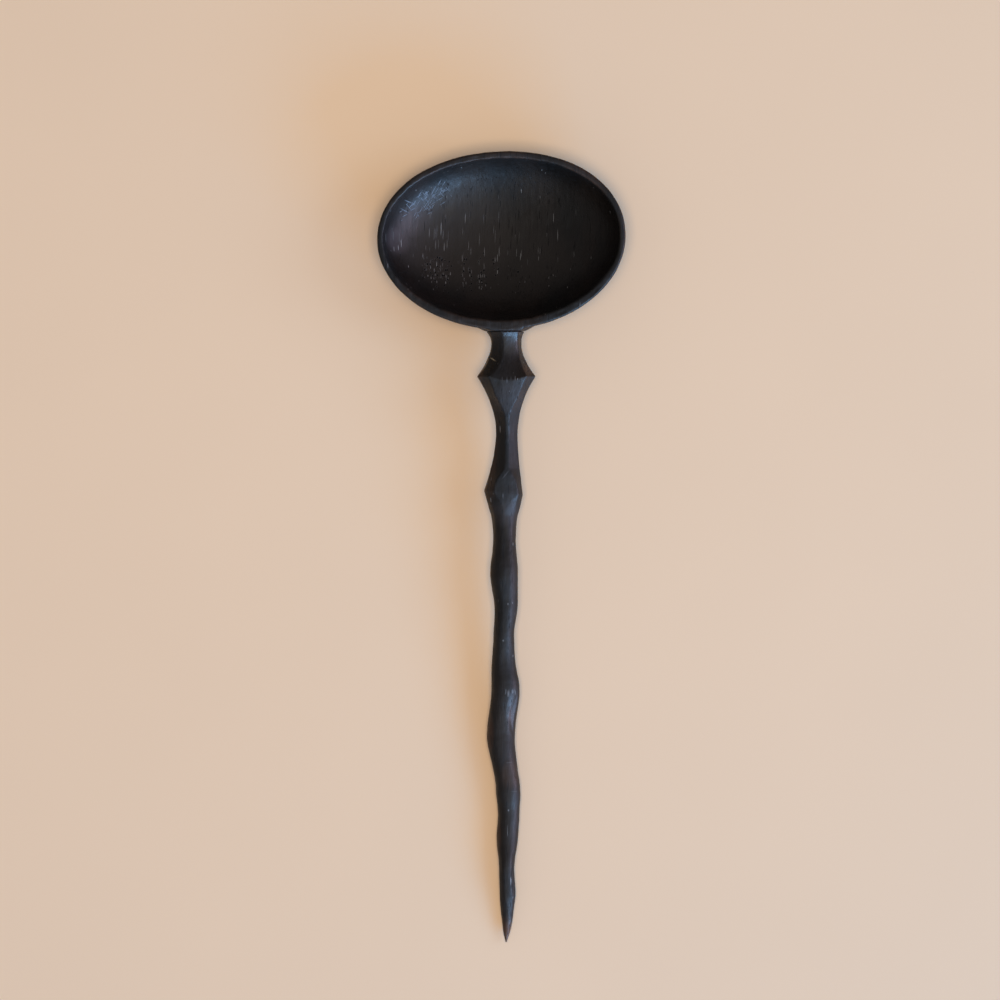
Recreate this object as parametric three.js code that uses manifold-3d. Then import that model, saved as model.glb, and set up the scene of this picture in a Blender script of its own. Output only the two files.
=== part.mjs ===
// A hand-carved serving spoon in blackened hardwood: a wide oval bowl on a crooked, tapering handle.
// The handle is let into the bowl: its round tenon is glued in a blind socket, and its shoulder seats
// flat against the boss that stands out from the bowl's wall just under the rim.
// Millimetres. +Z is up from the table and +Y runs from the handle's point to the bowl's far lip.
// The origin is on the table, under the middle of the spoon's length and width.

import * as THREE from "three";
import { mergeVertices } from "three/addons/utils/BufferGeometryUtils.js";
import Module from "manifold-3d";

const wasm = await Module();
wasm.setup();

const OVERALL_LENGTH = 300; // far lip of the bowl to the point of the handle

// Bowl, seen from above
const BOWL_WIDTH = 94;
const BOWL_FAR_REACH = 32.8; // widest line to the far lip
const BOWL_NEAR_REACH = 34.6; // widest line to the lip over the neck
const FAR_FULLNESS = 2.1; // 2 draws a true ellipse, and more draws a squarer oval
const NEAR_FULLNESS = 1.95;
const BOWL_TURN = 2; // degrees that the oval is turned against the handle
const BOWL_BOW = 0.8; // both lips bend this far to the right of the oval's middle
const RIM_SIDE = 2.4; // width of the rim at the sides, at the far lip and over the neck
const RIM_FAR = 2.8;
const RIM_NEAR = 3.6;
const RIM_EASE = 0.4; // the small bevel that takes off both sharp edges of the rim

// Bowl, seen from the side
const BOWL_HEIGHT = 26;
const FLOOR_THICKNESS = 4;
const OUTSIDE_FULLNESS = 2.4;
const HOLLOW_FULLNESS = 2.5;
const REST_WIDTH = 30; // the flat under the bowl that it stands on
const HOLLOW_LEAN = 3.4; // the floor lies this far towards the far lip, which leaves wood for the socket
const SCOOP_WIDTH = 12; // the nearly flat middle of the floor

// Where the handle meets the bowl
const AXIS_OFFSET = 1.8; // the handle's axis lies to the right of the bowl's middle
const BOSS_STAND = 0.5; // the boss ends this far outside the rim, with its top level with it
const RIM_STEP = 1; // the root's top lies this far below the rim
const ROOT_WIDTH = 14.6;
const ROOT_HEIGHT = 13.2;
const ROOT_DRIFT = -0.3;
const ROOT_RUN = 4.5; // the root's curve is spent this far down the neck
const ROOT_FULLNESS = 2.5;
const BOSS_DEPTH = 9; // how far the boss runs into the bowl's wall
const BOSS_SPREAD = 13; // how much it widens to each side on the way
const BOSS_FLARE = 0.8; // higher powers keep it slim for longer
const BOSS_DROP = 4.6; // how far its underside drops on the way
const TENON_DIAMETER = 6.4;
const TENON_LENGTH = 4;
const TENON_DROP = 1.6; // the tenon's axis lies below the root's middle, where the wall is thicker
const TENON_EASE = 0.5;
const GLUE_GAP = 0.2;

// Handle: the two collars and the faceted waist between them
const NECK_LENGTH = 17; // shoulder to upper collar
const NECK_WIDTH = 11.6;
const NECK_HEIGHT = 10.8;
const NECK_DROP = 1.2; // the neck's top lies this far below the root's
const NECK_FLARE = 1.8; // higher powers keep the neck slim for longer
const UPPER_COLLAR_WIDTH = 22.3;
const UPPER_COLLAR_HEIGHT = 15;
const UPPER_COLLAR_UNDER = 10.6; // its underside's height above the table
const COLLAR_DIP = 1.4; // its crest dips this far down the handle across its middle
const DIP_INNER = 0.4; // the dip is full inside this share of the half width, and gone outside the other
const DIP_OUTER = 0.65;
const COLLAR_SPACING = 44;
const WAIST_PLACE = 0.5; // the waist's place between the collars, from 0 to 1
const WAIST_WIDTH = 8.2;
const WAIST_HEIGHT = 7.8;
const WAIST_UNDER = 11.6;
const WAIST_DRIFT = 0.25;
const UPPER_FLARE = 2.05;
const LOWER_FLARE = 1.6;
const LOWER_COLLAR_WIDTH = 14.8;
const LOWER_COLLAR_HEIGHT = 11.8;
const LOWER_COLLAR_UNDER = 7.1;
const LOWER_COLLAR_DRIFT = -1.05;
const LOWER_COLLAR_SLANT = 0.9; // its right side lies this much further down the handle than its middle

// Handle: the crooked shaft. Each crook is a cross-section: its place from the lower collar, at 0, to the
// point, at 1, its width and height, its sideways drift, and its underside's height above the table.
// The one with no height above the table is where the handle rests. Some have their facets rolled, in
// degrees, and a negative roll turns the top to the right.
const CROOKS = [
  { place: 0.03, width: 12.3, height: 10.9, drift: -0.75, under: 7, roll: -20 },
  { place: 0.055, width: 10, height: 9.6, drift: -0.65, under: 7.3, roll: -19 },
  { place: 0.102, width: 8.6, height: 8.8, drift: -0.65, under: 8, roll: -8 },
  { place: 0.176, width: 10.7, height: 9.2, drift: -0.85, under: 8.9 },
  { place: 0.255, width: 8.9, height: 9.2, drift: 0, under: 7.4 },
  { place: 0.314, width: 7.9, height: 8.6, drift: -0.9, under: 6.7 },
  { place: 0.374, width: 9, height: 8.2, drift: -0.95, under: 5.3 },
  { place: 0.435, width: 10.9, height: 9.2, drift: -0.2, under: 4.3, roll: -10 },
  { place: 0.543, width: 10.7, height: 9.4, drift: -2, under: 1.3 },
  { place: 0.613, width: 9.5, height: 8.8, drift: -0.3, under: 1.4 },
  { place: 0.66, width: 9.3, height: 8.2, drift: 0.8, under: 1.5 },
  { place: 0.713, width: 8.3, height: 7.6, drift: 1, under: 0.6 },
  { place: 0.766, width: 8.2, height: 7.8, drift: 0.45, under: 0 },
  { place: 0.835, width: 5.9, height: 6.6, drift: 0.2, under: 1.9 },
  { place: 0.892, width: 6, height: 5.8, drift: 0.55, under: 1.1 },
  { place: 0.932, width: 4.8, height: 4.8, drift: 0.45, under: 0.4, roll: -28 },
  { place: 0.965, width: 3.4, height: 3.4, drift: 0.35, under: 0.7, roll: -30 },
  { place: 0.985, width: 1.9, height: 2, drift: 0.1, under: 1.6, roll: -30 },
  { place: 1, width: 0.5, height: 0.5, drift: 0, under: 2.6 },
];

// Facets of a cross-section: the angles where the side facet and the ridge facet end, in degrees from the
// horizontal, how far the facets are rounded over, from 0, flat, to 1, an ellipse, and their roll.
const BOSS_FACETS = { side: 16, ridge: 46, softness: 0.12, roll: 0 };
const ROOT_FACETS = { side: 16, ridge: 62, softness: 0.4, roll: -14 };
const NECK_FACETS = { side: 8, ridge: 62, softness: 0.2, roll: -20 };
const UPPER_COLLAR_FACETS = { side: 22, ridge: 52, softness: 0.12, roll: -2 };
const WAIST_FACETS = { side: 9, ridge: 81, softness: 0.12, roll: -2 };
const LOWER_COLLAR_FACETS = { side: 12, ridge: 50, softness: 0.3, roll: -10 };
const SHAFT_FACETS = { side: 24, ridge: 66, softness: 0.8, roll: 0 };
const POINT_FACETS = { side: 22, ridge: 66, softness: 0.45, roll: 0 };
const POINT_START = 0.8; // the place on the shaft where the point's facets take over

const upperCrest = UPPER_COLLAR_UNDER + UPPER_COLLAR_HEIGHT;
const lowerCrest = LOWER_COLLAR_UNDER + LOWER_COLLAR_HEIGHT;

// The waist's top facet is a long triangle that runs down and out to a narrow ridge, and opens again. These
// are its height and the angle where it ends, from the upper collar's crest, at 0, to the lower one's, at 1.
const WAIST_TOP = [
  { place: 0, ridge: UPPER_COLLAR_FACETS.ridge, top: upperCrest },
  { place: 0.14, ridge: 53, top: upperCrest - 1.7 },
  { place: 0.25, ridge: 69, top: upperCrest - 3.1 },
  { place: 0.35, ridge: WAIST_FACETS.ridge, top: upperCrest - 4.4 },
  { place: WAIST_PLACE, ridge: WAIST_FACETS.ridge, top: WAIST_UNDER + WAIST_HEIGHT },
  { place: 0.65, ridge: 82, top: lowerCrest - 0.1 },
  { place: 0.78, ridge: 82, top: lowerCrest + 0.1 },
  { place: 0.85, ridge: 66, top: lowerCrest + 0.2 },
  { place: 0.92, ridge: 51, top: lowerCrest + 0.1 },
  { place: 1, ridge: LOWER_COLLAR_FACETS.ridge, top: lowerCrest },
];

// Blackened wood with a waxed, satin surface
const BOWL_COLOUR = 0x29231f;
const HANDLE_COLOUR = 0x2b2725;
const WOOD_ROUGHNESS = 0.5;

// Mesh fineness
const OVAL_STEPS = 96;
const WALL_STEPS = 18;
const FACET_STEPS = 3;
const NECK_STEPS = 10;
const BOSS_STEPS = 7;
const WAIST_STEPS = 24;
const SHAFT_STEPS = 60;
const TENON_SIDES = 24;

const OVERCUT = 2; // cutting shapes run this far past the faces they open

const shaftLength =
  OVERALL_LENGTH - BOWL_FAR_REACH - BOWL_NEAR_REACH - BOSS_STAND - NECK_LENGTH - COLLAR_SPACING;
const shoulderY = -BOWL_NEAR_REACH - BOSS_STAND; // measured from the middle of the bowl's oval

const mix = (a, b, share) => a + (b - a) * share;

function mixAll(a, b, share) {
  return Object.fromEntries(Object.keys(a).map((key) => [key, mix(a[key], b[key], share)]));
}

// A smooth curve through keys that never swings past them, as a spring-steel batten lies.
function batten(keys, name) {
  const at = keys.map((key) => key.place);
  const value = keys.map((key) => key[name]);
  const slope = at.slice(1).map((end, i) => (value[i + 1] - value[i]) / (end - at[i]));
  const tangent = value.map((_, i) => {
    if (i === 0) return slope[0];
    if (i === value.length - 1) return slope[i - 1];
    const [before, after] = [slope[i - 1], slope[i]];
    return before * after <= 0 ? 0 : (2 * before * after) / (before + after);
  });
  return (place) => {
    const i = Math.min(Math.max(at.findIndex((end) => end >= place), 1), at.length - 1) - 1;
    const span = at[i + 1] - at[i];
    const t = (place - at[i]) / span;
    return (
      (2 * t ** 3 - 3 * t ** 2 + 1) * value[i] +
      (t ** 3 - 2 * t ** 2 + t) * span * tangent[i] +
      (3 * t ** 2 - 2 * t ** 3) * value[i + 1] +
      (t ** 3 - t ** 2) * span * tangent[i + 1]
    );
  };
}

// Joins rings of equal length into one closed body. Each ring turns right-handed about the way they run.
function loft(rings) {
  const positions = [];
  const add = (...corners) => corners.forEach((corner) => positions.push(corner.x, corner.y, corner.z));
  const count = rings[0].length;
  const middle = (ring) =>
    ring.reduce((sum, point) => sum.add(point), new THREE.Vector3()).divideScalar(count);
  const [firstMiddle, lastMiddle] = [middle(rings[0]), middle(rings.at(-1))];
  for (let j = 0; j < count; j++) {
    const k = (j + 1) % count;
    add(firstMiddle, rings[0][k], rings[0][j]);
    add(lastMiddle, rings.at(-1)[j], rings.at(-1)[k]);
    for (let i = 0; i + 1 < rings.length; i++) {
      add(rings[i][j], rings[i][k], rings[i + 1][k]);
      add(rings[i][j], rings[i + 1][k], rings[i + 1][j]);
    }
  }
  return new THREE.BufferGeometry().setAttribute(
    "position",
    new THREE.Float32BufferAttribute(positions, 3),
  );
}

function toSolid(geometry) {
  const bare = new THREE.BufferGeometry();
  bare.setAttribute("position", geometry.getAttribute("position"));
  if (geometry.index) bare.setIndex(geometry.index);
  const merged = mergeVertices(bare, 1e-4);
  return new wasm.Manifold(
    new wasm.Mesh({
      numProp: 3,
      vertProperties: new Float32Array(merged.attributes.position.array),
      triVerts: new Uint32Array(merged.index.array),
    }),
  );
}

function toGeometry(solid) {
  const mesh = solid.getMesh();
  const geometry = new THREE.BufferGeometry();
  geometry.setAttribute("position", new THREE.BufferAttribute(mesh.vertProperties, 3));
  geometry.setIndex(new THREE.BufferAttribute(mesh.triVerts, 1));
  geometry.computeVertexNormals();
  return geometry;
}

// One ring of the bowl: its oval with the given reaches to the side, the far lip and the neck.
function ovalRing({ side, far, near }, z, shift = 0) {
  const turn = THREE.MathUtils.degToRad(BOWL_TURN);
  return Array.from({ length: OVAL_STEPS }, (_, i) => {
    const angle = (i / OVAL_STEPS) * 2 * Math.PI;
    const [c, s] = [Math.cos(angle), Math.sin(angle)];
    const power = 2 / (s > 0 ? FAR_FULLNESS : NEAR_FULLNESS);
    const x = Math.sign(c) * side * Math.abs(c) ** power;
    const y = Math.sign(s) * (s > 0 ? far : near) * Math.abs(s) ** power;
    const bow = BOWL_BOW * (y / BOWL_FAR_REACH) ** 2;
    return new THREE.Vector3(
      x * Math.cos(turn) - y * Math.sin(turn) + bow,
      x * Math.sin(turn) + y * Math.cos(turn) + shift,
      z,
    );
  });
}

function grownOval({ side, far, near }, by) {
  return { side: side + by, far: far + by, near: near + by };
}

// Rings of a bowl shape, from its bottom up. Its bottom is flat out to the given share of its reach.
function bowlRings(oval, { depth, fullness, flatShare, lean, top, ease }) {
  const flatAngle = Math.acos(flatShare ** (fullness / 2));
  const deepest = Math.sin(flatAngle) ** (2 / fullness);
  const rings = [];
  for (let i = 0; i < WALL_STEPS; i++) {
    const angle = flatAngle * (1 - i / WALL_STEPS);
    const reach = Math.cos(angle) ** (2 / fullness);
    const down = (depth * Math.sin(angle) ** (2 / fullness)) / deepest;
    const scaled = { side: oval.side * reach, far: oval.far * reach, near: oval.near * reach };
    rings.push(ovalRing(scaled, top - ease - down, (lean * down) / depth));
  }
  rings.push(ovalRing(oval, top - ease));
  return rings;
}

const outsideOval = { side: BOWL_WIDTH / 2, far: BOWL_FAR_REACH, near: BOWL_NEAR_REACH };
const hollowOval = {
  side: outsideOval.side - RIM_SIDE,
  far: outsideOval.far - RIM_FAR,
  near: outsideOval.near - RIM_NEAR,
};

function bowlOutside() {
  const rings = bowlRings(outsideOval, {
    depth: BOWL_HEIGHT - RIM_EASE,
    fullness: OUTSIDE_FULLNESS,
    flatShare: REST_WIDTH / BOWL_WIDTH,
    lean: 0,
    top: BOWL_HEIGHT,
    ease: RIM_EASE,
  });
  rings.push(ovalRing(grownOval(outsideOval, -RIM_EASE), BOWL_HEIGHT));
  return loft(rings);
}

function bowlHollow() {
  const rings = bowlRings(hollowOval, {
    depth: BOWL_HEIGHT - FLOOR_THICKNESS - RIM_EASE,
    fullness: HOLLOW_FULLNESS,
    flatShare: SCOOP_WIDTH / (2 * hollowOval.side),
    lean: HOLLOW_LEAN,
    top: BOWL_HEIGHT,
    ease: RIM_EASE,
  });
  rings.push(ovalRing(grownOval(hollowOval, RIM_EASE), BOWL_HEIGHT));
  rings.push(ovalRing(grownOval(hollowOval, RIM_EASE + OVERCUT), BOWL_HEIGHT + OVERCUT));
  return loft(rings);
}

// One cross-section of the handle as a ring of points at a distance down the handle from the shoulder.
// Its facets are laid out round a circle, and the ring is then drawn out to the section's true sizes.
function sectionRing(distance, { width, drift, top, under, side, ridge, softness, roll, dip, slant }) {
  const degrees = [side, ridge, 180 - ridge, 180 - side, 180 + side, 180 + ridge, 360 - ridge, 360 - side];
  const corners = degrees.map((angle) => THREE.MathUtils.degToRad(angle + roll));
  const outline = [];
  corners.forEach((corner, i) => {
    const next = i + 1 < corners.length ? corners[i + 1] : corners[0] + 2 * Math.PI;
    for (let step = 0; step < FACET_STEPS; step++) {
      const share = step / FACET_STEPS;
      const [x, z] = [Math.cos, Math.sin].map((along) =>
        mix(mix(along(corner), along(next), share), along(mix(corner, next, share)), softness),
      );
      outline.push(new THREE.Vector2(x, z));
    }
  });
  const box = new THREE.Box2().setFromPoints(outline);
  const size = box.getSize(new THREE.Vector2());
  return outline.map((point) => {
    const across = (2 * (point.x - box.min.x)) / size.x - 1; // -1 at the left side and 1 at the right
    const dipped = dip * (1 - THREE.MathUtils.smoothstep(Math.abs(across), DIP_INNER, DIP_OUTER));
    return new THREE.Vector3(
      AXIS_OFFSET + drift + (across * width) / 2,
      shoulderY - distance - dipped - slant * across,
      mix(under, top, (point.y - box.min.y) / size.y),
    );
  });
}

const rootTop = BOWL_HEIGHT - RIM_STEP;
const neckTop = rootTop - NECK_DROP;
const rootSection = {
  width: ROOT_WIDTH,
  drift: ROOT_DRIFT,
  top: rootTop,
  under: rootTop - ROOT_HEIGHT,
  ...ROOT_FACETS,
  dip: 0,
  slant: 0,
};
const neckSection = {
  width: NECK_WIDTH,
  drift: 0,
  top: neckTop,
  under: neckTop - NECK_HEIGHT,
  ...NECK_FACETS,
  dip: 0,
  slant: 0,
};
const upperCollar = {
  width: UPPER_COLLAR_WIDTH,
  drift: 0,
  top: upperCrest,
  under: UPPER_COLLAR_UNDER,
  ...UPPER_COLLAR_FACETS,
  dip: COLLAR_DIP,
  slant: 0,
};
const waistSection = {
  width: WAIST_WIDTH,
  drift: WAIST_DRIFT,
  top: WAIST_UNDER + WAIST_HEIGHT,
  under: WAIST_UNDER,
  ...WAIST_FACETS,
  dip: 0,
  slant: 0,
};
const lowerCollar = {
  width: LOWER_COLLAR_WIDTH,
  drift: LOWER_COLLAR_DRIFT,
  top: lowerCrest,
  under: LOWER_COLLAR_UNDER,
  ...LOWER_COLLAR_FACETS,
  dip: 0,
  slant: LOWER_COLLAR_SLANT,
};

// From the shoulder to the upper collar's crest.
function neckRings() {
  return Array.from({ length: NECK_STEPS + 1 }, (_, i) => {
    const distance = NECK_LENGTH * (i / NECK_STEPS);
    if (distance < ROOT_RUN) {
      const share = 1 - (1 - distance / ROOT_RUN) ** ROOT_FULLNESS;
      return sectionRing(distance, mixAll(rootSection, neckSection, share));
    }
    const share = ((distance - ROOT_RUN) / (NECK_LENGTH - ROOT_RUN)) ** NECK_FLARE;
    return sectionRing(distance, mixAll(neckSection, upperCollar, share));
  });
}

// From the upper collar's crest through the waist to the lower collar's crest.
function waistRings() {
  const [ridgeAt, topAt] = ["ridge", "top"].map((name) => batten(WAIST_TOP, name));
  return Array.from({ length: WAIST_STEPS }, (_, i) => {
    const place = (i + 1) / WAIST_STEPS;
    const section =
      place <= WAIST_PLACE
        ? mixAll(upperCollar, waistSection, 1 - (1 - place / WAIST_PLACE) ** UPPER_FLARE)
        : mixAll(waistSection, lowerCollar, ((place - WAIST_PLACE) / (1 - WAIST_PLACE)) ** LOWER_FLARE);
    const distance = NECK_LENGTH + COLLAR_SPACING * place;
    return sectionRing(distance, { ...section, ridge: ridgeAt(place), top: topAt(place) });
  });
}

// From the lower collar's crest down the crooked shaft to the point.
function shaftRings() {
  const keys = [
    { place: 0, height: LOWER_COLLAR_HEIGHT, ...lowerCollar },
    ...CROOKS.map((crook) => ({
      slant: 0,
      ...(crook.place > POINT_START ? POINT_FACETS : SHAFT_FACETS),
      ...crook,
    })),
  ];
  const names = ["width", "height", "drift", "under", "side", "ridge", "softness", "roll", "slant"];
  const curves = Object.fromEntries(names.map((name) => [name, batten(keys, name)]));
  return Array.from({ length: SHAFT_STEPS }, (_, i) => {
    const place = (i + 1) / SHAFT_STEPS;
    const section = Object.fromEntries(names.map((name) => [name, curves[name](place)]));
    section.top = section.under + section.height;
    section.dip = 0;
    return sectionRing(NECK_LENGTH + COLLAR_SPACING + shaftLength * place, section);
  });
}

// The boss on the bowl's outside: the root's curve carried on into the wall, ending at the shoulder.
function bowlBoss() {
  return loft(
    Array.from({ length: BOSS_STEPS + 1 }, (_, i) => {
      const share = 1 - i / BOSS_STEPS;
      return sectionRing(-BOSS_DEPTH * share, {
        ...rootSection,
        ...BOSS_FACETS,
        width: ROOT_WIDTH + 2 * BOSS_SPREAD * share ** BOSS_FLARE,
        top: BOWL_HEIGHT,
        under: rootSection.under - BOSS_DROP * Math.sin((share * Math.PI) / 2),
        drift: mix(ROOT_DRIFT, -AXIS_OFFSET, share),
      });
    }),
  );
}

// A round peg along the handle, centred on the root. It ends inside the bowl at the given reach.
function peg(diameter, reach, ease) {
  const half = diameter / 2;
  const profile = [
    [0, -OVERCUT],
    [half, -OVERCUT],
    [half, reach - ease],
    [half - ease, reach],
    [0, reach],
  ].map(([r, y]) => new THREE.Vector2(r, y));
  const z = (rootSection.top + rootSection.under) / 2 - TENON_DROP;
  return new THREE.LatheGeometry(profile, TENON_SIDES).translate(AXIS_OFFSET, shoulderY, z);
}

function woodPiece(name, color, solid) {
  const material = new THREE.MeshStandardMaterial({ color, roughness: WOOD_ROUGHNESS, metalness: 0 });
  const mesh = new THREE.Mesh(toGeometry(solid), material);
  mesh.name = name;
  return mesh;
}

function makeBowl() {
  const socket = peg(TENON_DIAMETER + 2 * GLUE_GAP, TENON_LENGTH + GLUE_GAP, TENON_EASE);
  const solid = toSolid(bowlOutside())
    .add(toSolid(bowlBoss()))
    .subtract(toSolid(bowlHollow()))
    .subtract(toSolid(socket));
  return woodPiece("bowl", BOWL_COLOUR, solid);
}

function makeHandle() {
  const stem = loft([...neckRings(), ...waistRings(), ...shaftRings()]);
  const tenon = peg(TENON_DIAMETER, TENON_LENGTH, TENON_EASE);
  return woodPiece("handle", HANDLE_COLOUR, toSolid(stem).add(toSolid(tenon)));
}

const spoon = new THREE.Group();
spoon.name = "spoon";
spoon.add(makeBowl(), makeHandle());
const extent = new THREE.Box3().setFromObject(spoon);
const centre = extent.getCenter(new THREE.Vector3());
spoon.position.set(-centre.x, -centre.y, -extent.min.z);

export default spoon;
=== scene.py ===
"""Dresses the solid model of a carved serving spoon as the real one: blackened, waxed oak.

Both pieces start from the solids' own shapes, so their places and sizes come from the model. Run in
Blender, the script mixes the finishes, carves the pieces and sets them on a pale table in soft light.
"""

import math

import bpy
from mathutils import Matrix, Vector


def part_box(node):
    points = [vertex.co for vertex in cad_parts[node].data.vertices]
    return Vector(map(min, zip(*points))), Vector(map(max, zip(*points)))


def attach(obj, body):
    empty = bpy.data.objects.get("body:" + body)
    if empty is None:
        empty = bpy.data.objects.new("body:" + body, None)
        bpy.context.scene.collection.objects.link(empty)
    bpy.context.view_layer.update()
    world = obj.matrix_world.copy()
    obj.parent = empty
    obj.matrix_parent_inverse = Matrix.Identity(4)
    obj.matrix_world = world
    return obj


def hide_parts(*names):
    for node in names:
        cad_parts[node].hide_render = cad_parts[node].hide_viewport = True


bl_info = {
    "name": "Carved serving spoon",
    "version": (1, 0, 0),
    "blender": (4, 5, 0),
    "location": "3D View > Sidebar > Spoon",
    "description": "Makes a carved oval-bowled serving spoon in blackened oak, and its table and light",
    "category": "Add Mesh",
}

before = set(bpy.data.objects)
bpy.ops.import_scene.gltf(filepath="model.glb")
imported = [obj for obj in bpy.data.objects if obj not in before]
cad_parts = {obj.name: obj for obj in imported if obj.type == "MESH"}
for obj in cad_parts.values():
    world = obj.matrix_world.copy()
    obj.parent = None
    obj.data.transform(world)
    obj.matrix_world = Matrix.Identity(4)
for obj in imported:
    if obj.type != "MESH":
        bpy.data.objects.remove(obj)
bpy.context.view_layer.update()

MM = 0.001
PHOTO_PIXELS = 1000
PHOTO_SCALE = 0.379 * MM  # metres to a pixel of the photograph, at the height of the camera's focus
PHOTO_AXIS_COLUMN = 501.4  # the pixel column and row that the model's origin lies under
PHOTO_ORIGIN_ROW = 548.3
FOCUS_HEIGHT = 15 * MM
FOCAL_LENGTH = 250  # mm: long, so that the spoon is seen almost without perspective
TABLE_SIDE = 8  # metres

# Soft lights: each one's name, place, width, height, power in watts and colour. The table and the spoon
# have their own, because the photograph has warm light on the one and cool glints on the other.
TABLE_LIGHTS = (
    ("lamp_over_table", (0, 0, 1.5), 0.45, 0.45, 11.4, "#ffd8a8"),
    ("near_window_on_table", (1.05, -1.25, 0.65), 1.2, 0.6, 16.3, "#30b6ff"),
    ("side_window_on_table", (1.2, 0.2, 0.9), 0.8, 0.8, 4, "#cae7ff"),
)
SPOON_LIGHTS = (
    ("ceiling_over_spoon", (0.4, -0.7, 1.1), 1.8, 1.8, 9.1, "#fffffc"),
    ("near_window", (1.05, -1.25, 0.65), 1.2, 0.6, 58, "#98ccff"),
    ("side_window", (1.65, -0.25, 0.65), 1.2, 0.6, 15.8, "#f3e2ff"),
)
ROOM_COLOUR = "#fff8f7"
ROOM_STRENGTH = 0.287

# Where something has happened to the wood. Each spot has its middle and its reach, both in mm, its turn
# about the vertical in degrees, and how strong it is there.
ZONES = {
    # Pores that are packed with old flour and wax
    "filled": (
        ((-15, 113, 8), (26, 20, 20), 0, 0.95),
        ((15, 112, 8), (24, 15, 18), 0, 0.5),
        ((-38.5, 117, 16), (7, 7, 11), 0, 1.0),
        ((3, 63, 24), (5.5, 5, 5), 0, 1.0),
        ((4, -55, 12), (4, 3, 8), 0, 1.0),
    ),
    # The hollow's near wall, which cuts across the pores
    "pitted": (((-14, 105, 8), (22, 10, 14), 0, 0.9),),
    # Fine scratches on the hollow's far left, and two deep ones beside them
    "scuffed": (((-26, 132.5, 18), (16, 6.5, 16), 32, 1.0),),
    "struck": (
        ((-35.8, 127.6, 18), (3.6, 0.4, 8), -27, 0.8),
        ((-34.6, 131.2, 18), (2.8, 0.35, 8), -20, 0.7),
    ),
    # Pale pinkish haze: dull wax on the hollow's left wall, and painted sheen on its upper-left wall
    # and below the collars, where the light catches them
    "bloom_and_sheen_spots": (
        ((-38.5, 117, 16), (7, 7, 11), 0, 0.1),
        ((-33, 124, 14), (12, 7, 14), 40, 0.06),
        ((3, 57, 23), (8, 8, 9), 0, 0.035),
        ((1, 13, 16), (7, 6, 9), 0, 0.03),
    ),
    # The hollow's floor, painted a lighter brown-grey: partly scraped by serving, partly painted light
    # where the floor faces the lamps
    "worn_and_lit_floor": (((-16, 117, 6), (34, 25, 20), 0, 1.0), ((0, 108, 6), (40, 18, 16), 0, 0.6)),
    # The fresh wood of the knife slip on the neck
    "nicked": (((-3.6, 71.7, 24), (2.2, 0.36, 6), -33, 1.0),),
    # Brown where hands rub, and painted warm reflection of the table, mostly on the handle's left
    # sides: the point, the upper collar's side points, the waist and the shaft's side
    "rubbed_and_reflected": (
        ((2, -152, 3), (6, 13, 8), 0, 1.0),
        ((-8.4, 66, 18), (3.2, 3.4, 9), 0, 0.5),
        ((9.6, 67, 18), (3.2, 3.4, 9), 0, 0.45),
        ((-4, 38, 14), (3, 26, 12), 0, 0.3),
        ((-6.2, 24, 10), (3, 5, 10), 0, 0.5),
        ((-4.2, -8, 8), (2.6, 11, 9), 0, 0.35),
        ((-5, -70, 6), (3.2, 12, 9), 0, 0.5),
        ((3.5, -86, 8), (5, 7, 8), 0, 0.25),
        ((-1.8, -110, 5), (2.4, 10, 7), 0, 0.45),
    ),
    # The handle's top: six specks, four dashes at the bend, four at the upper collar, three cross lines
    "marked": (
        ((4.4, 1.6, 15.5), (0.4, 0.8, 2), 0, 0.2),
        ((2.5, -21.1, 16.7), (0.35, 0.6, 2), 0, 0.3),
        ((4.2, -20.7, 16.1), (0.35, 0.6, 2), 0, 0.2),
        ((0.7, -35, 14.9), (0.4, 0.5, 2), 0, 0.35),
        ((4.4, -40.8, 12.2), (0.3, 0.6, 2), 0, 0.25),
        ((2.7, -99.6, 8.4), (0.35, 0.5, 2), 0, 0.45),
        ((1.7, -54.3, 13.3), (0.24, 1.2, 2), 0, 0.28),
        ((2.9, -54.9, 13.1), (0.24, 1.7, 2), 0, 0.28),
        ((4.3, -54.4, 12.8), (0.24, 1.2, 2), 0, 0.3),
        ((5.3, -54.7, 12.1), (0.24, 1.5, 2), 8, 0.28),
        ((0.3, 64.1, 25.4), (0.22, 1.1, 2), 0, 0.15),
        ((2.1, 63.6, 25.4), (0.22, 1.6, 2), 0, 0.2),
        ((3.6, 64.2, 25.4), (0.22, 1, 2), 0, 0.15),
        ((5.2, 64.3, 25.2), (0.26, 1.2, 2), 0, 0.3),
        ((2.9, -81.4, 10.1), (1.6, 0.3, 3), 4, 0.1),
        ((4.9, -92.4, 9.3), (1.9, 0.3, 3), 0, 0.08),
        ((1.6, 27.9, 19), (2.6, 0.3, 3), 52, 0.12),
    ),
    # The flat at the shaft's bend and the neck's top, which are shinier. The strength is taken off the
    # roughness.
    "burnished": (((5.6, -62, 10), (4.5, 9.5, 9), 0, 0.16), ((4, 78, 20), (6, 6, 9), 0, 0.07)),
    # The bowl, whose outer edge is painted brown for wear and for the table's warm reflection, and its
    # inside, which isn't
    "edged": (((0, 119, 12), (80, 46, 60), 0, 1.0),),
    "sheltered": (((-0.5, 117, 8), (62, 47, 26), 0, 1.0),),
}
SPOT_CORE = 0.45  # a spot is at full strength out to this share of its reach
STRAY_FILLED = 0.04  # this share of the pores is filled even where few are
STREAK_ROUGHNESS = 0.4  # what a streak at its strongest adds to the roughness of the satin
SUNK_ROUGHNESS = 0.4  # what pores and pits add to it

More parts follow.
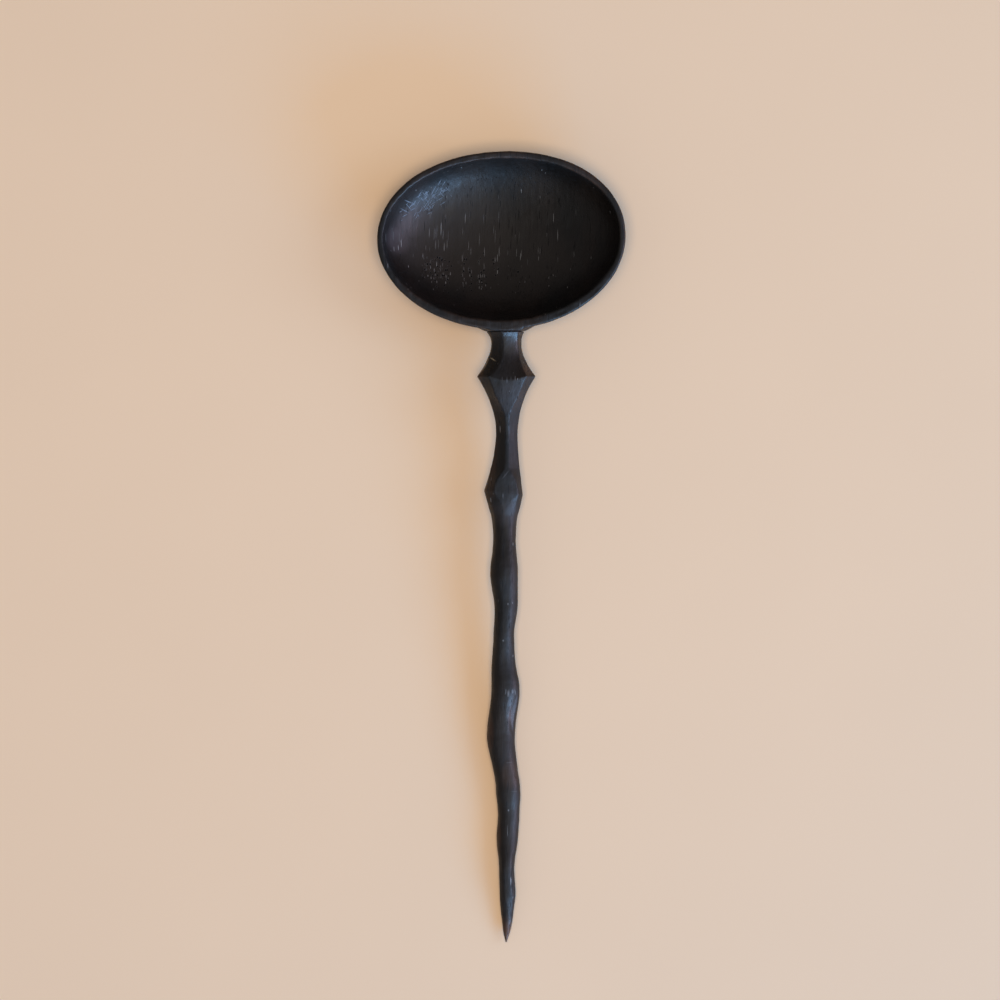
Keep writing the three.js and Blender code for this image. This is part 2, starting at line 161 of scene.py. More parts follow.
WIDEST_FROM_LIP = 0.36  # the oval is widest this share of its width from the far lip
RIM_INSIDE = 0.965  # the rim's flat lies past this share of the oval
LIP_FADE = 0.02  # the lip's waver comes in over this share
LIP_WAVER_LENGTH = 5 * MM
TOOL_MARK_LENGTH = 3.5 * MM
TOOL_MARK_HEIGHT = 0.14 * MM
SHAFT_TOP = 14 * MM  # below the lower collar
ROOT_TOP = 80.6 * MM  # just below the bowl's shoulder
SADDLE_MIDDLE = 73.5 * MM
SADDLE_REACH = 8.5 * MM
FLAT_MIDDLE = Vector((6.2, -62.5, 0)) * MM
FLAT_REACH = Vector((4.5, 9.5, 1)) * MM
FLAT_FACING = Vector((0.5, -0.19, 0.83)).normalized()
NICK_START = Vector((-5.0, 72.7, 0)) * MM
NICK_END = Vector((-2.0, 70.7, 0)) * MM
NICK_REFINED = 0.8 * MM  # faces this near the nick are divided, so that it can be cut
NICK_LOWEST = 18 * MM  # it is only on the neck's top half


class SpoonSizes(bpy.types.PropertyGroup):
    """Sizes of the hand-work that the solids leave out"""

    bowl_grain: bpy.props.FloatProperty(
        name="Bowl detail",
        description="Edge of the small cubes that the bowl's surface is rebuilt from",
        default=0.5 * MM,
        min=0.3 * MM,
        subtype="DISTANCE",
    )
    handle_grain: bpy.props.FloatProperty(
        name="Handle detail",
        description="Edge of the small cubes that the handle's surface is rebuilt from",
        default=0.34 * MM,
        min=0.2 * MM,
        subtype="DISTANCE",
    )
    waver_height: bpy.props.FloatProperty(
        name="Waver height",
        description="How far the hand-carved surface wanders in and out",
        default=0.32 * MM,
        min=0,
        subtype="DISTANCE",
    )
    waver_length: bpy.props.FloatProperty(
        name="Waver length",
        description="Distance between the hand-carved surface's soft rises",
        default=9 * MM,
        min=1 * MM,
        subtype="DISTANCE",
    )
    lip_waver: bpy.props.FloatProperty(
        name="Lip waver",
        description="How far the gouged inner edge of the rim wanders in and out",
        default=0.7 * MM,
        min=0,
        subtype="DISTANCE",
    )
    saddle_dip: bpy.props.FloatProperty(
        name="Saddle dip",
        description="How far the neck's top dips between the bowl and the upper collar",
        default=1.2 * MM,
        min=0,
        subtype="DISTANCE",
    )
    flat_depth: bpy.props.FloatProperty(
        name="Flat depth",
        description="Depth of the flat that is pared at the shaft's bend",
        default=0.6 * MM,
        min=0.01 * MM,
        subtype="DISTANCE",
    )
    nick_width: bpy.props.FloatProperty(
        name="Nick width",
        description="Width of the knife slip on the neck",
        default=0.6 * MM,
        min=0.1 * MM,
        subtype="DISTANCE",
    )
    nick_depth: bpy.props.FloatProperty(
        name="Nick depth",
        description="Depth of the knife slip on the neck",
        default=0.35 * MM,
        min=0,
        subtype="DISTANCE",
    )


class SpoonColours(bpy.types.PropertyGroup):
    """Colours of the wood and the table, as sRGB hex"""

    wood_dark: bpy.props.StringProperty(
        name="Dark wood", description="Blackened late wood", default="#0d0b0a"
    )
    wood_light: bpy.props.StringProperty(
        name="Light wood", description="Browner early wood", default="#1e1612"
    )
    # Lighter brown-grey of the hollow's floor: partly scraped wood, partly painted light on the floor
    # that faces the lamps
    worn_and_lit_floor: bpy.props.StringProperty(
        name="Worn wood",
        description="Brown-grey floor of the hollow, scraped by serving",
        default="#2b2521",
    )
    # Brown of rubbed wood; the same brown paints the table's warm reflection on the handle's left sides
    # and the bowl's outer edge
    rubbed_and_reflected: bpy.props.StringProperty(
        name="Rubbed wood",
        description="Brown edges and point, where the black has worn thin",
        default="#4a3022",
    )
    # Pale pinkish haze: dull wax on the hollow's left wall, and painted sheen where the light catches
    # the upper-left wall and below the collars
    bloom_and_sheen: bpy.props.StringProperty(
        name="Bloom",
        description="Dull, pinkish wax on the hollow's left wall and below the collars",
        default="#8c7c80",
    )
    bare_oak: bpy.props.StringProperty(
        name="Bare oak", description="Fresh wood in the nick on the neck", default="#cbb89c"
    )
    pore_shade: bpy.props.StringProperty(
        name="Pore shade", description="Black inside of the open pores", default="#040303"
    )
    # Pale wax and flour in the pores and marks; the same colour paints the highlight on the pits' lips
    pore_fill_and_lip_highlight: bpy.props.StringProperty(
        name="Pore fill", description="Pale wax and flour in the pores and marks", default="#858281"
    )
    # Pale scratches, tinted blue-grey as a painted glint of the cool light on them
    scratch_and_glint: bpy.props.StringProperty(
        name="Scratch", description="Fine scuffs in the hollow", default="#7f8b97"
    )
    table: bpy.props.StringProperty(
        name="Table", description="Plain pale table", default="#eedfce"
    )


def deselect_all():
    """Leaves nothing selected, because an operator works on all that is."""
    bpy.ops.object.select_all(action="DESELECT")


def linear(hex_colour):
    """Turns an sRGB hex colour into linear red, green, blue and alpha."""
    channels = [int(hex_colour[i : i + 2], 16) / 255 for i in (1, 3, 5)]
    return [c / 12.92 if c <= 0.04045 else ((c + 0.055) / 1.055) ** 2.4 for c in channels] + [1.0]


def add_node(tree, kind, sockets, **settings):
    """Adds a node, sets its own settings, and gives its sockets values or links from other sockets."""
    node = tree.nodes.new(kind)
    for name, value in settings.items():
        setattr(node, name, value)
    for socket, value in sockets.items():
        if isinstance(value, bpy.types.NodeSocket):
            tree.links.new(value, node.inputs[socket])
        else:
            node.inputs[socket].default_value = value
    return node


def zone_mask(tree, place, spots):
    """The strongest of some soft-edged spots, each a stretched ball."""
    mask = 0.0
    for middle, reach, turn, strength in spots:
        centred = add_node(
            tree,
            "ShaderNodeMapping",
            {
                "Vector": place,
                "Location": [edge * MM for edge in middle],
                "Rotation": (0, 0, math.radians(turn)),
                "Scale": [edge * MM for edge in reach],
            },
            vector_type="TEXTURE",
        )
        distance = add_node(
            tree, "ShaderNodeVectorMath", {0: centred.outputs[0]}, operation="LENGTH"
        )
        spot = add_node(
            tree,
            "ShaderNodeMapRange",
            {
                "Value": distance.outputs["Value"],
                "From Min": SPOT_CORE,
                "From Max": 1.0,
                "To Min": strength,
                "To Max": 0.0,
            },
            interpolation_type="SMOOTHSTEP",
        )
        mask = add_node(
            tree, "ShaderNodeMath", {0: spot.outputs[0], 1: mask}, operation="MAXIMUM"
        ).outputs[0]
    return mask


def grain_patterns(tree, place):
    """The wood's noises and scatters of cells, which all follow one wandering grain.

    Each is as wide, as long and as thick as its size in mm. Real oak's fibres are some 0.02 mm wide and
    its pores 0.3 mm. The fibres and the pits are drawn coarser than that, so that they show.
    """
    # The grain wanders 2 mm to each side and comes back over some 60 mm.
    wander = add_node(
        tree, "ShaderNodeTexNoise", {"Vector": place, "Scale": 1 / (60 * MM), "Detail": 1.0}
    )
    grain = add_node(
        tree,
        "ShaderNodeVectorMath",
        {0: wander.outputs["Color"], 1: (4 * MM, 0, 4 * MM), 2: place},
        operation="MULTIPLY_ADD",
    ).outputs[0]
    patterns = {}
    for name, kind, size, sockets in (
        ("stain", "ShaderNodeTexNoise", (16, 60, 16), {"Detail": 3.0}),
        ("rings", "ShaderNodeTexNoise", (2.6, 160, 9), {"Detail": 1.0}),
        ("fibres", "ShaderNodeTexNoise", (0.45, 14, 0.45), {"Detail": 2.0}),
        ("streaks", "ShaderNodeTexNoise", (1.3, 7, 1.3), {"Detail": 3.0}),
        ("pores", "ShaderNodeTexVoronoi", (0.5, 9, 1), {}),
        ("pits", "ShaderNodeTexVoronoi", (0.95, 1.5, 0.95), {}),
    ):
        stretched = add_node(
            tree,
            "ShaderNodeMapping",
            {"Vector": grain, "Scale": [edge * MM for edge in size]},
            vector_type="TEXTURE",
        )
        patterns[name] = add_node(
            tree, kind, {"Vector": stretched.outputs[0], "Scale": 1.0, **sockets}
        )
    return patterns


def pore_masks(tree, pores, zones, early_wood):
    """Open pores, and how pale the filled ones are.

    A pore is an ellipsoid in the middle of its cell, and most cells of the dense late wood have none.
    """
    dash = add_node(
        tree,
        "ShaderNodeMapRange",
        {
            "Value": pores.outputs["Distance"],
            "From Min": 0.2,
            "From Max": 0.36,
            "To Min": 0.7,
            "To Max": 0.0,
        },
        interpolation_type="SMOOTHSTEP",
    )
    draw = add_node(tree, "ShaderNodeSeparateColor", {"Color": pores.outputs["Color"]})
    drawn = add_node(
        tree, "ShaderNodeMath", {0: draw.outputs["Red"], 1: early_wood}, operation="LESS_THAN"
    )
    pore = add_node(
        tree, "ShaderNodeMath", {0: dash.outputs[0], 1: drawn.outputs[0]}, operation="MULTIPLY"
    ).outputs[0]
    filled_share = add_node(
        tree, "ShaderNodeMath", {0: zones["filled"], 1: STRAY_FILLED}, operation="MAXIMUM"
    )
    filled = add_node(
        tree,
        "ShaderNodeMath",
        {0: draw.outputs["Green"], 1: filled_share.outputs[0]},
        operation="LESS_THAN",
    )
    fullness = add_node(
        tree, "ShaderNodeMapRange", {"Value": draw.outputs["Blue"], "To Min": 0.15, "To Max": 1.4}
    )
    packed = add_node(
        tree, "ShaderNodeMath", {0: fullness.outputs[0], 1: filled.outputs[0]}, operation="MULTIPLY"
    )
    pale_pore = add_node(
        tree, "ShaderNodeMath", {0: pore, 1: packed.outputs[0]}, operation="MULTIPLY"
    ).outputs[0]
    return pore, pale_pore


def pit_masks(tree, pits, zones, early_wood):
    """Pits where the scoop's wall cuts across the pores: painted shade in their mouths, a painted
    highlight on their lips.
    """
    draw = add_node(tree, "ShaderNodeSeparateColor", {"Color": pits.outputs["Color"]})
    share = add_node(
        tree, "ShaderNodeMath", {0: zones["pitted"], 1: early_wood}, operation="MULTIPLY"
    )
    drawn = add_node(
        tree,
        "ShaderNodeMath",
        {0: draw.outputs["Red"], 1: share.outputs[0]},
        operation="LESS_THAN",
    )
    masks = []
    for full_to, gone_at, strength, edge in (
        # the mouth is painted black as shade, and the lip round it pale as a highlight on the pit's
        # edge
        (0.26, 0.38, 1.0, "SMOOTHSTEP"),  # the mouth
        (0.36, 0.52, 0.15, "LINEAR"),  # the lip round it
    ):
        disc = add_node(
            tree,
            "ShaderNodeMapRange",
            {
                "Value": pits.outputs["Distance"],
                "From Min": full_to,
                "From Max": gone_at,
                "To Min": strength,
                "To Max": 0.0,
            },
            interpolation_type=edge,
        )
        masks.append(
            add_node(
                tree,
                "ShaderNodeMath",
                {0: disc.outputs[0], 1: drawn.outputs[0]},
                operation="MULTIPLY",
            ).outputs[0]
        )
    return masks


def scratch_and_glint_mask(tree, place, zones):
    """Scuffs: crossing fine scratches, drawn 0.3 mm wide to show, pale with a painted blue glint."""
    mask = zones["struck"]
    for turn, share in ((-32, 0.8), (42, 0.7), (-58, 0.5)):
        crossed = add_node(
            tree,
            "ShaderNodeMapping",
            {
                "Vector": place,
                "Rotation": (0, 0, math.radians(turn)),
                "Scale": (0.5 * MM, 6 * MM, 1),
            },
            vector_type="TEXTURE",
        )
        cells = add_node(
            tree,
            "ShaderNodeTexVoronoi",
            {"Vector": crossed.outputs[0], "Scale": 1.0},
            voronoi_dimensions="2D",
        )
        line = add_node(
            tree,
            "ShaderNodeMapRange",
            {
                "Value": cells.outputs["Distance"],
                "From Min": 0.08,
                "From Max": 0.26,
                "To Min": 0.7,
                "To Max": 0.0,
            },
        )
        draw = add_node(tree, "ShaderNodeSeparateColor", {"Color": cells.outputs["Color"]})
        line_share = add_node(
            tree, "ShaderNodeMath", {0: zones["scuffed"], 1: share}, operation="MULTIPLY"
        )
        drawn = add_node(
            tree,
            "ShaderNodeMath",
            {0: draw.outputs["Red"], 1: line_share.outputs[0]},
            operation="LESS_THAN",
        )
        strength = add_node(
            tree, "ShaderNodeMath", {0: line.outputs[0], 1: drawn.outputs[0]}, operation="MULTIPLY"
        )
        mask = add_node(
            tree, "ShaderNodeMath", {0: strength.outputs[0], 1: mask}, operation="MAXIMUM"
        ).outputs[0]
    return mask


def rubbed_and_reflected_mask(tree, stain, zones):
    """Brown wear and painted table reflection: rubbed places, and the rim's outward corner in broken
    lengths.
    """
    corners = add_node(tree, "ShaderNodeNewGeometry", {}).outputs["Pointiness"]
    corner = add_node(
        tree, "ShaderNodeMapRange", {"Value": corners, "From Min": 0.502, "From Max": 0.57}
    )
    broken = add_node(
        tree,
        "ShaderNodeMapRange",
        {"Value": stain.outputs["Fac"], "From Min": 0.4, "From Max": 0.6},
    )
    reached = add_node(
        tree,
        "ShaderNodeMath",
        {0: zones["edged"], 1: zones["sheltered"]},
        operation="SUBTRACT",
        use_clamp=True,
    )
    exposed = add_node(
        tree, "ShaderNodeMath", {0: corner.outputs[0], 1: reached.outputs[0]}, operation="MULTIPLY"
    )
    edge_wear_and_reflection = add_node(
        tree, "ShaderNodeMath", {0: exposed.outputs[0], 1: broken.outputs[0]}, operation="MULTIPLY"
    )
    return add_node(
        tree,
        "ShaderNodeMath",
        {0: edge_wear_and_reflection.outputs[0], 1: zones["rubbed_and_reflected"]},
        operation="MAXIMUM",
        use_clamp=True,
    ).outputs[0]


def ebonised_oak(colours):
    """Oak, spokeshaved and scraped, blackened with iron and vinegar, and waxed.

    The stain goes almost black and leaves a little brown in the softer early wood. Oak's open pores run
    with the grain, along the handle, as dashes of a few millimetres in narrow bands, and show as pits
    where the hollow's near wall cuts across them, painted black inside as shade and pale on their lips
    as a highlight. Old flour and wax lie pale in many of them. The wax leaves a satin surface, scuffed
    on the hollow's far left by other cutlery, with the scratches tinted blue-grey as a painted glint.
    Edges that hands rub go brown, and the same brown is painted as the table's warm reflection on the
    handle's left sides. The hollow's floor is painted lighter, for scraping and for the light on it,
    and a pale sheen is painted where the light catches the upper-left wall and below the collars.
    """
    material = bpy.data.materials.new("ebonised_oak")
    material.use_nodes = True
    tree = material.node_tree
    shader = tree.nodes["Principled BSDF"]
    place = add_node(tree, "ShaderNodeTexCoord", {}).outputs["Object"]
    patterns = grain_patterns(tree, place)
    zones = {name: zone_mask(tree, place, spots) for name, spots in ZONES.items()}

    # The share of cells with a pore, from the dense late wood to the open early wood.
    early_wood = add_node(
        tree,
        "ShaderNodeMapRange",
        {
            "Value": patterns["rings"].outputs["Fac"],
            "From Min": 0.46,
            "From Max": 0.56,
            "To Min": 0.06,
            "To Max": 0.8,
        },
    ).outputs[0]
    pore, pale_pore = pore_masks(tree, patterns["pores"], zones, early_wood)
    pit, lip = pit_masks(tree, patterns["pits"], zones, early_wood)
    scratch_and_glint = scratch_and_glint_mask(tree, place, zones)
    rubbed_and_reflected = rubbed_and_reflected_mask(tree, patterns["stain"], zones)

    # Colour: the stained wood, streaked by its fibres, and then each mark over what is under it.
    body = add_node(
        tree,
        "ShaderNodeMapRange",
        {"Value": patterns["stain"].outputs["Fac"], "From Min": 0.35, "From Max": 0.65},
    )
    stained = add_node(
        tree,
        "ShaderNodeMix",
        {
            "Factor": body.outputs[0],
            "A": linear(colours.wood_dark),
            "B": linear(colours.wood_light),
        },
        data_type="RGBA",
    )
    fibre_shade = add_node(
        tree,
        "ShaderNodeMapRange",
        {
            "Value": patterns["fibres"].outputs["Fac"],
            "From Min": 0.3,
            "From Max": 0.7,
            "To Min": 0.7,
            "To Max": 1.3,
        },
    )
    surface = add_node(
        tree,
        "ShaderNodeVectorMath",
        {0: stained.outputs["Result"], "Scale": fibre_shade.outputs[0]},
        operation="SCALE",
    ).outputs[0]
    for mask, colour in (
        # the hollow's floor: scraping, and painted light
        (zones["worn_and_lit_floor"], colours.worn_and_lit_floor),
        # brown wear, and painted warm reflection of the table on the left sides and the rim's edge
        (rubbed_and_reflected, colours.rubbed_and_reflected),
        # dull wax, and painted sheen
        (zones["bloom_and_sheen_spots"], colours.bloom_and_sheen),
        (pore, colours.pore_shade),
        (pale_pore, colours.pore_fill_and_lip_highlight),
        # painted highlight on each pit's lip
        (lip, colours.pore_fill_and_lip_highlight),
        # painted shade in each pit's mouth
        (pit, colours.pore_shade),
        # pale scratches, with a painted blue glint
        (scratch_and_glint, colours.scratch_and_glint),
        (zones["marked"], colours.pore_fill_and_lip_highlight),
        (zones["nicked"], colours.bare_oak),
    ):
        surface = add_node(
            tree,
            "ShaderNodeMix",
            {"Factor": mask, "A": surface, "B": linear(colour)},
            data_type="RGBA",
        ).outputs["Result"]
    tree.links.new(surface, shader.inputs["Base Color"])

    # Roughness: a waxed satin in 12 mm clouds, streaked along the grain, shinier where it is burnished
    # and dull in the pores and pits.
    polish = add_node(
        tree, "ShaderNodeTexNoise", {"Vector": place, "Scale": 1 / (12 * MM), "Detail": 3.0}
    )
    satin = add_node(
        tree,
        "ShaderNodeMapRange",
        {
            "Value": polish.outputs["Fac"],
            "From Min": 0.3,
            "From Max": 0.7,
            "To Min": 0.24,
            "To Max": 0.38,
        },
    )
    mottled = add_node(
        tree,
        "ShaderNodeMath",
        {0: patterns["streaks"].outputs["Fac"], 1: STREAK_ROUGHNESS, 2: satin.outputs[0]},
        operation="MULTIPLY_ADD",
    )
    smoothed = add_node(
        tree, "ShaderNodeMath", {0: mottled.outputs[0], 1: zones["burnished"]}, operation="SUBTRACT"
    )
    sunk = add_node(tree, "ShaderNodeMath", {0: pore, 1: pit}, operation="MAXIMUM")
    dulled = add_node(
        tree,
        "ShaderNodeMath",
        {0: sunk.outputs[0], 1: SUNK_ROUGHNESS, 2: smoothed.outputs[0]},
        operation="MULTIPLY_ADD",
    )
    tree.links.new(dulled.outputs[0], shader.inputs["Roughness"])
    # Thin, dry wax over open grain reflects less than a full varnish.
    shader.inputs["Specular IOR Level"].default_value = 0.32

    # Relief: how far in mm each pattern stands up or is sunk. It is calmer where the wood is burnished.
    relief = 0.0
    for pattern, height in (
        (patterns["fibres"].outputs["Fac"], 0.05),
        (patterns["streaks"].outputs["Fac"], 0.09),
        (pore, -0.04),
        (pit, -0.3),
        (scratch_and_glint, -0.1),
        (patterns["rings"].outputs["Fac"], 0.12),
    ):
        relief = add_node(
            tree,
            "ShaderNodeMath",
            {0: pattern, 1: height * MM, 2: relief},
            operation="MULTIPLY_ADD",
        ).outputs[0]
    calm = add_node(
        tree,
        "ShaderNodeMapRange",
        {"Value": zones["burnished"], "From Max": 0.16, "To Min": 1.0, "To Max": 0.2},
    )
    bump = add_node(
        tree, "ShaderNodeBump", {"Height": relief, "Distance": 1.0, "Strength": calm.outputs[0]}
    )
    tree.links.new(bump.outputs[0], shader.inputs["Normal"])
    return material


def painted_table(colours):
    """Smooth board under matt paint. Its rolled coat varies so little that it reads as plain."""
    material = bpy.data.materials.new("painted_table")
    material.use_nodes = True
    tree = material.node_tree
    shader = tree.nodes["Principled BSDF"]
    place = add_node(tree, "ShaderNodeTexCoord", {}).outputs["Object"]
    clouds = add_node(
        tree, "ShaderNodeTexNoise", {"Vector": place, "Scale": 1 / (90 * MM), "Detail": 2.0}
    )
    tone = add_node(
        tree, "ShaderNodeMapRange", {"Value": clouds.outputs["Fac"], "To Min": 0.98, "To Max": 1.02}
    )
    coat = add_node(
        tree,
        "ShaderNodeVectorMath",
        {0: linear(colours.table)[:3], "Scale": tone.outputs[0]},
        operation="SCALE",
    )
    tree.links.new(coat.outputs[0], shader.inputs["Base Color"])
    shader.inputs["Roughness"].default_value = 0.85
    shader.inputs["Specular IOR Level"].default_value = 0.2
    return material


def ramp(distance, start, run):
    """Rises from 0 at the start to 1 over the run, both in mm, and goes on below 0 and past 1."""
    return (distance - start * MM) / (run * MM)


def apply_modifier(piece, kind, **settings):
    """Adds a modifier to the active piece and makes its result the mesh."""
    modifier = piece.modifiers.new(kind.lower(), kind)
    for name, value in settings.items():
        setattr(modifier, name, value)
    bpy.ops.object.modifier_apply(modifier=modifier.name)


def weigh(piece, name, weight_at):
    """Gives each point of a piece a weight by its place, and returns the name of the vertex group."""
    group = piece.vertex_groups.new(name=name)
    for point in piece.data.vertices:
        weight = weight_at(point.co)
        if weight > 0:
            group.add([point.index], min(weight, 1), "REPLACE")
    return name


def remeshed_copy(node, name, grain):
    """Copies a solid's shape as a new piece of even, small faces, which can then be worked."""
    deselect_all()
    piece = bpy.data.objects.new(name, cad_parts[node].data.copy())
    piece.data.materials.clear()
    bpy.context.scene.collection.objects.link(piece)
    bpy.context.view_layer.objects.active = piece
    piece.select_set(True)
    bpy.ops.object.mode_set(mode="EDIT")
    bpy.ops.mesh.select_all(action="SELECT")
    bpy.ops.mesh.remove_doubles(threshold=0.001 * MM)
    bpy.ops.object.mode_set(mode="OBJECT")
    apply_modifier(piece, "REMESH", mode="VOXEL", voxel_size=grain, use_smooth_shade=True)
    return piece


def smooth(piece, rounds, group=""):
    """Evens out a surface, or only the weighted part of it."""
    apply_modifier(piece, "SMOOTH", factor=0.5, iterations=rounds, vertex_group=group)


def sink(piece, depth, group, direction="NORMAL"):
    """Lowers the weighted part of a surface, inwards or along an axis."""
    apply_modifier(
        piece, "DISPLACE", direction=direction, mid_level=0, strength=-depth, vertex_group=group
    )


def wander_surface(piece, length, height, group):
    """Lets a surface rise and sink softly, as a hand-held blade leaves it."""
    clouds = bpy.data.textures.new(piece.name + "_waver", "CLOUDS")
    clouds.noise_scale = length
    apply_modifier(
        piece,
        "DISPLACE",
        texture=clouds,
        texture_coords="LOCAL",
        mid_level=0.5,
        strength=height,
        vertex_group=group,
    )


def off_table(place):
    """0 at the table and 1 from 2 mm above it, so that what rests on the table stays flat."""
    return ramp(place.z, start=0, run=2)


class SPOON_OT_carve_bowl(bpy.types.Operator):
    """Carve the oval bowl with its rim and the boss that carries the handle"""

    bl_idname = "spoon.carve_bowl"
    bl_label = "Carve the bowl"

    def execute(self, context):
        sizes = context.scene.spoon_sizes
        bowl = remeshed_copy("bowl", "carved_bowl", sizes.bowl_grain)
        low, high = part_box("bowl")
        middle = (low + high) / 2
        middle.y = high.y - (high.x - low.x) * WIDEST_FROM_LIP
        # The handle's tenon is its only part that reaches past the bowl's shoulder.
        tenon = [p.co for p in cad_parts["handle"].data.vertices if p.co.y > low.y + 1 * MM]
        socket = sum(tenon, Vector()) / len(tenon)

        def scraped(place):
            """1 on the walls and floor, which are scraped smooth, and 0 at rim, shoulder and socket."""
            under_rim = ramp(high.z - place.z, start=1.4, run=1)
            past_shoulder = ramp(place.y - low.y, start=2, run=2)
            from_socket = ramp((place - socket).length, start=5.5, run=1)
            return min(under_rim, past_shoulder, from_socket)

        def inner_lip(place):
            """1 at the hollow's upper edge, where the gouge left a waver."""
            across = (place.x - middle.x) / (high.x - low.x) * 2
            along = (place.y - middle.y) / (high.y - middle.y)
            inside = (RIM_INSIDE - math.hypot(across, along)) / LIP_FADE
            return min(inside, ramp(place.z - high.z, start=-8, run=5))

        smooth(bowl, rounds=64, group=weigh(bowl, "scraped", scraped))
        smooth(bowl, rounds=5)
        waver = weigh(bowl, "waver", off_table)
        wander_surface(bowl, sizes.waver_length, sizes.waver_height, waver)
        wander_surface(bowl, LIP_WAVER_LENGTH, sizes.lip_waver, weigh(bowl, "inner_lip", inner_lip))
        bowl.data.materials.append(bpy.data.materials["ebonised_oak"])
        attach(bowl, "root")
        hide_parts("bowl")
        return {"FINISHED"}


def dip_saddle(handle, depth):
    """Lowers the neck's top between the bowl and the upper collar."""

    def dip(place):
        """1 at the bottom of the saddle, and 0 at the bowl, at the collar and underneath."""
        along = max(1 - abs(place.y - SADDLE_MIDDLE) / SADDLE_REACH, 0)
        return along * along * (3 - 2 * along) * min(ramp(place.z, start=14, run=5), 1)

    sink(handle, depth, weigh(handle, "saddle", dip), direction="Z")


def pare_flat(handle, depth):
    """Pares a flat that catches the light where the shaft bends away, and rubs down its edge."""

    def inside(place):
        """1 in the middle of the flat and 0 on the oval that bounds it, seen from above."""
        across = (place.x - FLAT_MIDDLE.x) / FLAT_REACH.x
        along = (place.y - FLAT_MIDDLE.y) / FLAT_REACH.y
        return 1 - math.hypot(across, along)

    near = [point.co for point in handle.data.vertices if inside(point.co) > 0]
    plane = max(place.dot(FLAT_FACING) for place in near) - depth

    def proud(place):
        """How far a point at the bend stands above the flat, as a share of the cut's depth."""
        # The cut is full in the oval's inner third and runs out towards its edge.
        return min((place.dot(FLAT_FACING) - plane) / depth, inside(place) * 1.5)

    sink(handle, depth, weigh(handle, "flat", proud))
    edge = weigh(handle, "flat_edge", lambda place: 3 * inside(place))
    smooth(handle, rounds=16, group=edge)


def cut_nick(handle, width, depth):
    """Cuts the knife slip across the left of the neck, in faces made fine enough for it."""
    slip = NICK_END - NICK_START

    def from_nick(place):
        """Distance from the slip's line, seen from above, and a metre on the neck's lower half."""
        seen = Vector((place.x, place.y, 0)) - NICK_START
        share = min(max(seen.dot(slip) / slip.length_squared, 0), 1)
        return (seen - share * slip).length if place.z > NICK_LOWEST else 1

    bpy.ops.object.mode_set(mode="EDIT")
    bpy.ops.mesh.select_all(action="DESELECT")
    bpy.ops.object.mode_set(mode="OBJECT")
    for face in handle.data.polygons:
        face.select = from_nick(face.center) < NICK_REFINED
    bpy.ops.object.mode_set(mode="EDIT")
    bpy.ops.mesh.select_mode(type="FACE")
    bpy.ops.mesh.subdivide(number_cuts=2)
    bpy.ops.object.mode_set(mode="OBJECT")
    sink(handle, depth, weigh(handle, "nick", lambda place: 1 - from_nick(place) / width * 2))


class SPOON_OT_carve_handle(bpy.types.Operator):
    """Carve the crooked handle with its collars, faceted waist and point"""

    bl_idname = "spoon.carve_handle"
    bl_label = "Carve the handle"

    def execute(self, context):
        sizes = context.scene.spoon_sizes
        handle = remeshed_copy("handle", "carved_handle", sizes.handle_grain)

        def rounded(place):
            """1 along the crooked shaft, fading out towards the crisp collar and the point."""
            return min(ramp(SHAFT_TOP - place.y, start=0, run=8), ramp(place.y, start=-128, run=10))

        def root(place):
            """1 on the neck's top just below the bowl, where the facets run into each other."""
            return min(ramp(ROOT_TOP - place.y, start=0, run=1.5), ramp(place.y, start=72, run=3))

        for name, weight_at in (("rounded", rounded), ("root", root)):
            smooth(handle, rounds=32, group=weigh(handle, name, weight_at))
        smooth(handle, rounds=4)
        waver = weigh(handle, "waver", off_table)
        wander_surface(handle, sizes.waver_length, sizes.waver_height, waver)
        wander_surface(handle, TOOL_MARK_LENGTH, TOOL_MARK_HEIGHT, waver)
        dip_saddle(handle, sizes.saddle_dip)
        pare_flat(handle, sizes.flat_depth)
        cut_nick(handle, sizes.nick_width, sizes.nick_depth)
        handle.data.materials.append(bpy.data.materials["ebonised_oak"])
        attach(handle, "root")
        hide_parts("handle")
        return {"FINISHED"}


class SPOON_OT_mix_finishes(bpy.types.Operator):
    """Mix the wood's and the table's finishes"""

    bl_idname = "spoon.mix_finishes"
    bl_label = "Mix the finishes"

    def execute(self, context):
        ebonised_oak(context.scene.spoon_colours)
        painted_table(context.scene.spoon_colours)
        return {"FINISHED"}


def add_softbox(name, place, width, height, power, colour, lit):
    """Adds a soft light that points at the spoon, lights some objects only and isn't seen itself."""
    bpy.ops.object.light_add(type="AREA", location=place)
    softbox = bpy.context.object
    softbox.name = name
    softbox.data.shape = "RECTANGLE"
    softbox.data.size = width
    softbox.data.size_y = height
    softbox.data.energy = power
    softbox.data.color = linear(colour)[:3]
    softbox.rotation_euler = (-Vector(place)).to_track_quat("-Z", "Y").to_euler()
    softbox.visible_camera = False
    softbox.light_linking.receiver_collection = lit


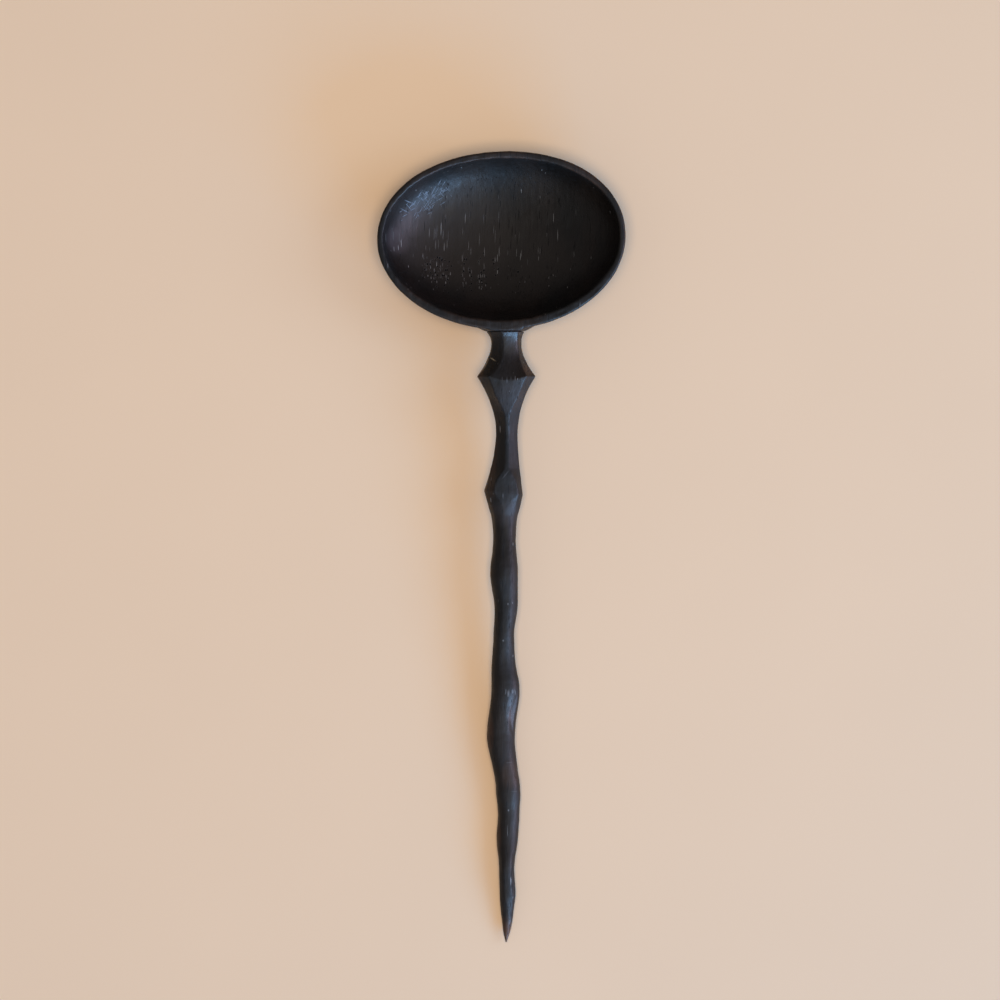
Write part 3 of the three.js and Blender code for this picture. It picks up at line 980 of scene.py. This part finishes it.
class SPOON_OT_set_stage(bpy.types.Operator):
    """Set the table, the soft lights and the camera straight above"""

    bl_idname = "spoon.set_stage"
    bl_label = "Set the stage"

    def execute(self, context):
        deselect_all()
        bpy.ops.mesh.primitive_plane_add(size=TABLE_SIDE)
        table = context.object
        table.name = "table"
        table.data.materials.append(bpy.data.materials["painted_table"])

        pieces = [bpy.data.objects[name] for name in ("carved_bowl", "carved_handle")]
        for name, lit_objects, lights in (
            ("table_board", [table], TABLE_LIGHTS),
            ("spoon_pieces", pieces, SPOON_LIGHTS),
        ):
            lit = bpy.data.collections.new(name)
            for lit_object in lit_objects:
                lit.objects.link(lit_object)
            for light in lights:
                add_softbox(*light, lit)
        world = bpy.data.worlds.new("room")
        world.use_nodes = True
        background = world.node_tree.nodes["Background"]
        background.inputs["Color"].default_value = linear(ROOM_COLOUR)
        background.inputs["Strength"].default_value = ROOM_STRENGTH
        context.scene.world = world
        context.scene.view_settings.view_transform = "Standard"

        lens = bpy.data.cameras.new("camera")
        lens.lens = FOCAL_LENGTH
        camera = bpy.data.objects.new("camera", lens)
        context.scene.collection.objects.link(camera)
        distance = PHOTO_PIXELS * PHOTO_SCALE * lens.lens / lens.sensor_width
        middle = PHOTO_PIXELS / 2
        camera.location = (
            (middle - PHOTO_AXIS_COLUMN) * PHOTO_SCALE,
            (PHOTO_ORIGIN_ROW - middle) * PHOTO_SCALE,
            FOCUS_HEIGHT + distance,
        )
        context.scene.camera = camera
        return {"FINISHED"}


class SPOON_PT_panel(bpy.types.Panel):
    """Lists the spoon's sizes, colours and steps"""

    bl_idname = "SPOON_PT_panel"
    bl_label = "Carved serving spoon"
    bl_space_type = "VIEW_3D"
    bl_region_type = "UI"
    bl_category = "Spoon"

    def draw(self, context):
        for group in (context.scene.spoon_sizes, context.scene.spoon_colours):
            for name in group.bl_rna.properties.keys():
                if name not in ("rna_type", "name"):
                    self.layout.prop(group, name)
        for operator in OPERATORS:
            self.layout.operator(operator.bl_idname)


OPERATORS = (
    SPOON_OT_mix_finishes,
    SPOON_OT_carve_bowl,
    SPOON_OT_carve_handle,
    SPOON_OT_set_stage,
)
CLASSES = (SpoonSizes, SpoonColours, *OPERATORS, SPOON_PT_panel)


def register():
    for each in CLASSES:
        bpy.utils.register_class(each)
    bpy.types.Scene.spoon_sizes = bpy.props.PointerProperty(type=SpoonSizes)
    bpy.types.Scene.spoon_colours = bpy.props.PointerProperty(type=SpoonColours)


def unregister():
    del bpy.types.Scene.spoon_colours
    del bpy.types.Scene.spoon_sizes
    for each in reversed(CLASSES):
        bpy.utils.unregister_class(each)


def main():
    register()
    bpy.ops.spoon.mix_finishes()
    bpy.ops.spoon.carve_bowl()
    bpy.ops.spoon.carve_handle()
    bpy.ops.spoon.set_stage()


if __name__ == "__main__":
    main()
